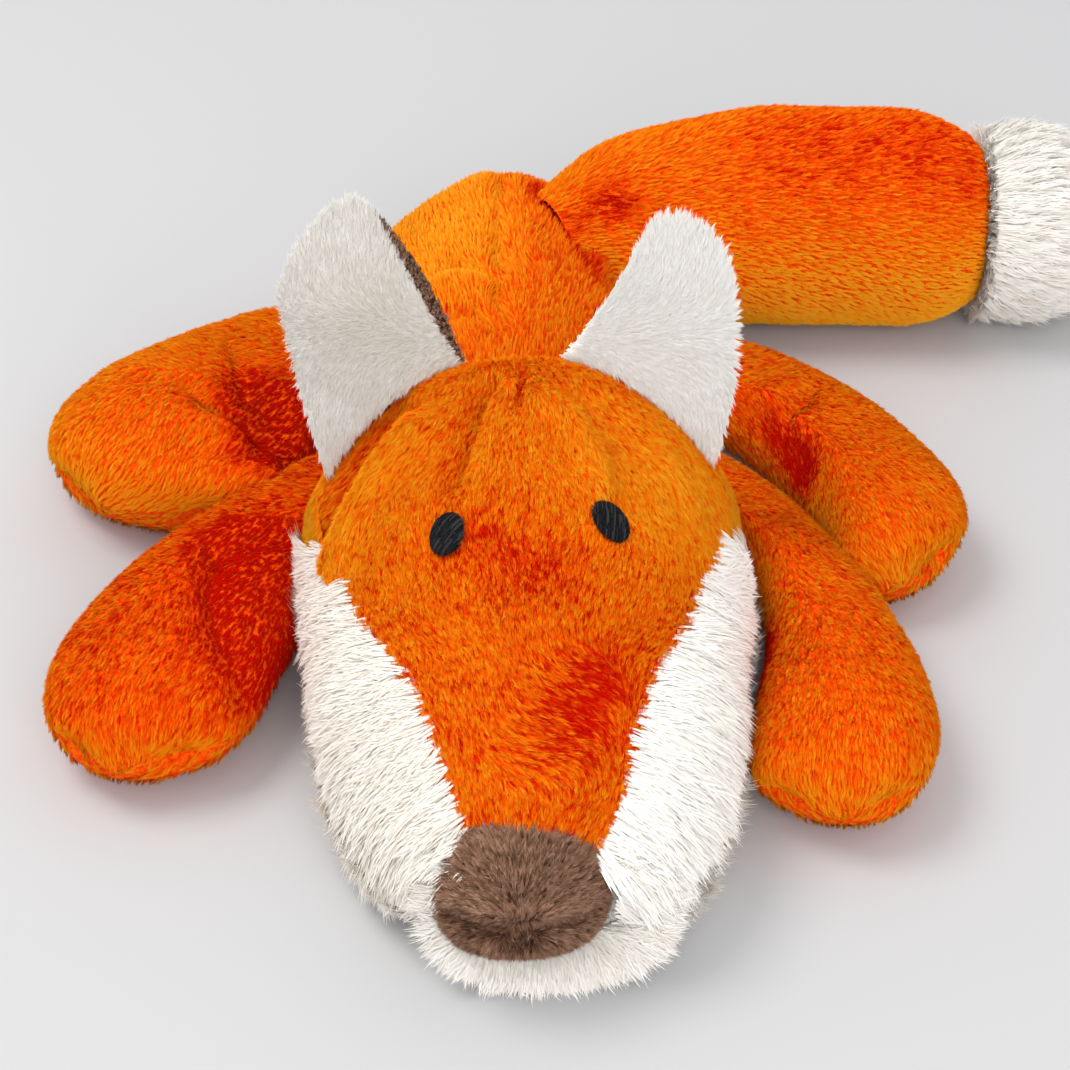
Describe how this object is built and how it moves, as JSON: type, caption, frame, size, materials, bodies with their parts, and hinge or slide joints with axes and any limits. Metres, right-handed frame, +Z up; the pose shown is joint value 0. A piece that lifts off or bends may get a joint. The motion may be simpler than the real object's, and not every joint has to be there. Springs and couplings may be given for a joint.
{
  "type": "plush fox",
  "caption": "Floppy orange plush fox lying on its belly, with white cheeks and tail tip, a brown nose, upright ears, curved limbs and a thick swept tail, each sewn on so that it moves.",
  "frame": {"origin": "middle of the belly's flat underside, on the surface that the fox lies on", "axes": "+Z up, -Y towards the nose, +X towards the fox's own left side, where the tail is swept"},
  "size_m": [0.3437, 0.3287, 0.1208],
  "materials": {
    "orange_plush": "short orange pile",
    "white_plush": "off-white pile",
    "brown_plush": "short brown pile",
    "eye_thread": "satin stitch in black thread",
    "filling": "loose polyester fibre",
    "bag_cloth": "plain woven cloth round plastic pellets"
  },
  "bodies": {
    "body": {"body_back_left": "orange_plush", "body_back_right": "orange_plush", "body_belly": "orange_plush", "body_filling": "filling", "pellet_bag": "bag_cloth"},
    "head": {"face_gusset": "orange_plush", "cheek_left": "white_plush", "cheek_right": "white_plush", "chin_panel": "white_plush", "head_back": "orange_plush", "head_filling": "filling", "nose": "brown_plush", "eye_left": "eye_thread", "eye_right": "eye_thread"},
    "ear_left": {"ear_left_front": "white_plush", "ear_left_back": "brown_plush"},
    "ear_right": {"ear_right_front": "white_plush", "ear_right_back": "brown_plush"},
    "front_left": {"front_left_top": "orange_plush", "front_left_sole": "orange_plush", "front_left_filling": "filling"},
    "front_right": {"front_right_top": "orange_plush", "front_right_sole": "orange_plush", "front_right_filling": "filling"},
    "hind_left": {"hind_left_top": "orange_plush", "hind_left_sole": "orange_plush", "hind_left_filling": "filling"},
    "hind_right": {"hind_right_top": "orange_plush", "hind_right_sole": "orange_plush", "hind_right_filling": "filling"},
    "tail": {"tail_sleeve": "orange_plush", "tail_tip": "white_plush", "tail_filling": "filling"}
  },
  "joints": [
    {"name": "head_nod", "type": "hinge", "parent": "body", "child": "head", "pos_m": [0, -0.078, 0.028], "axis": [-1, 0, 0], "range_deg": [-10, 30]},
    {"name": "ear_left_flop", "type": "hinge", "parent": "head", "child": "ear_left", "pos_m": [0.03452, -0.09689, 0.0717], "axis": [-0.84, 0.3431, 0.4203], "range_deg": [-20, 20], "stiffness_Nm_per_rad": 0.02},
    {"name": "ear_right_flop", "type": "hinge", "parent": "head", "child": "ear_right", "pos_m": [-0.03274, -0.09983, 0.0717], "axis": [-0.8069, -0.415, -0.4203], "range_deg": [-20, 20], "stiffness_Nm_per_rad": 0.02},
    {"name": "front_left_lift", "type": "hinge", "parent": "body", "child": "front_left", "pos_m": [0.02907, -0.058, 0.018], "axis": [-0.3445, -0.9388, 0], "range_deg": [-35, 15]},
    {"name": "front_right_lift", "type": "hinge", "parent": "body", "child": "front_right", "pos_m": [-0.02915, -0.058, 0.018], "axis": [-0.3559, 0.9345, 0], "range_deg": [-35, 15]},
    {"name": "hind_left_lift", "type": "hinge", "parent": "body", "child": "hind_left", "pos_m": [0.03662, -0.016, 0.018], "axis": [0.1442, -0.9896, 0], "range_deg": [-30, 35]},
    {"name": "hind_right_lift", "type": "hinge", "parent": "body", "child": "hind_right", "pos_m": [-0.04291, 0, 0.018], "axis": [-0.2098, 0.9777, 0], "range_deg": [-30, 35]},
    {"name": "tail_sweep", "type": "hinge", "parent": "body", "child": "tail", "pos_m": [-0.006, 0.028, 0.02], "axis": [0, 0, 1], "range_deg": [0, 120]}
  ]
}
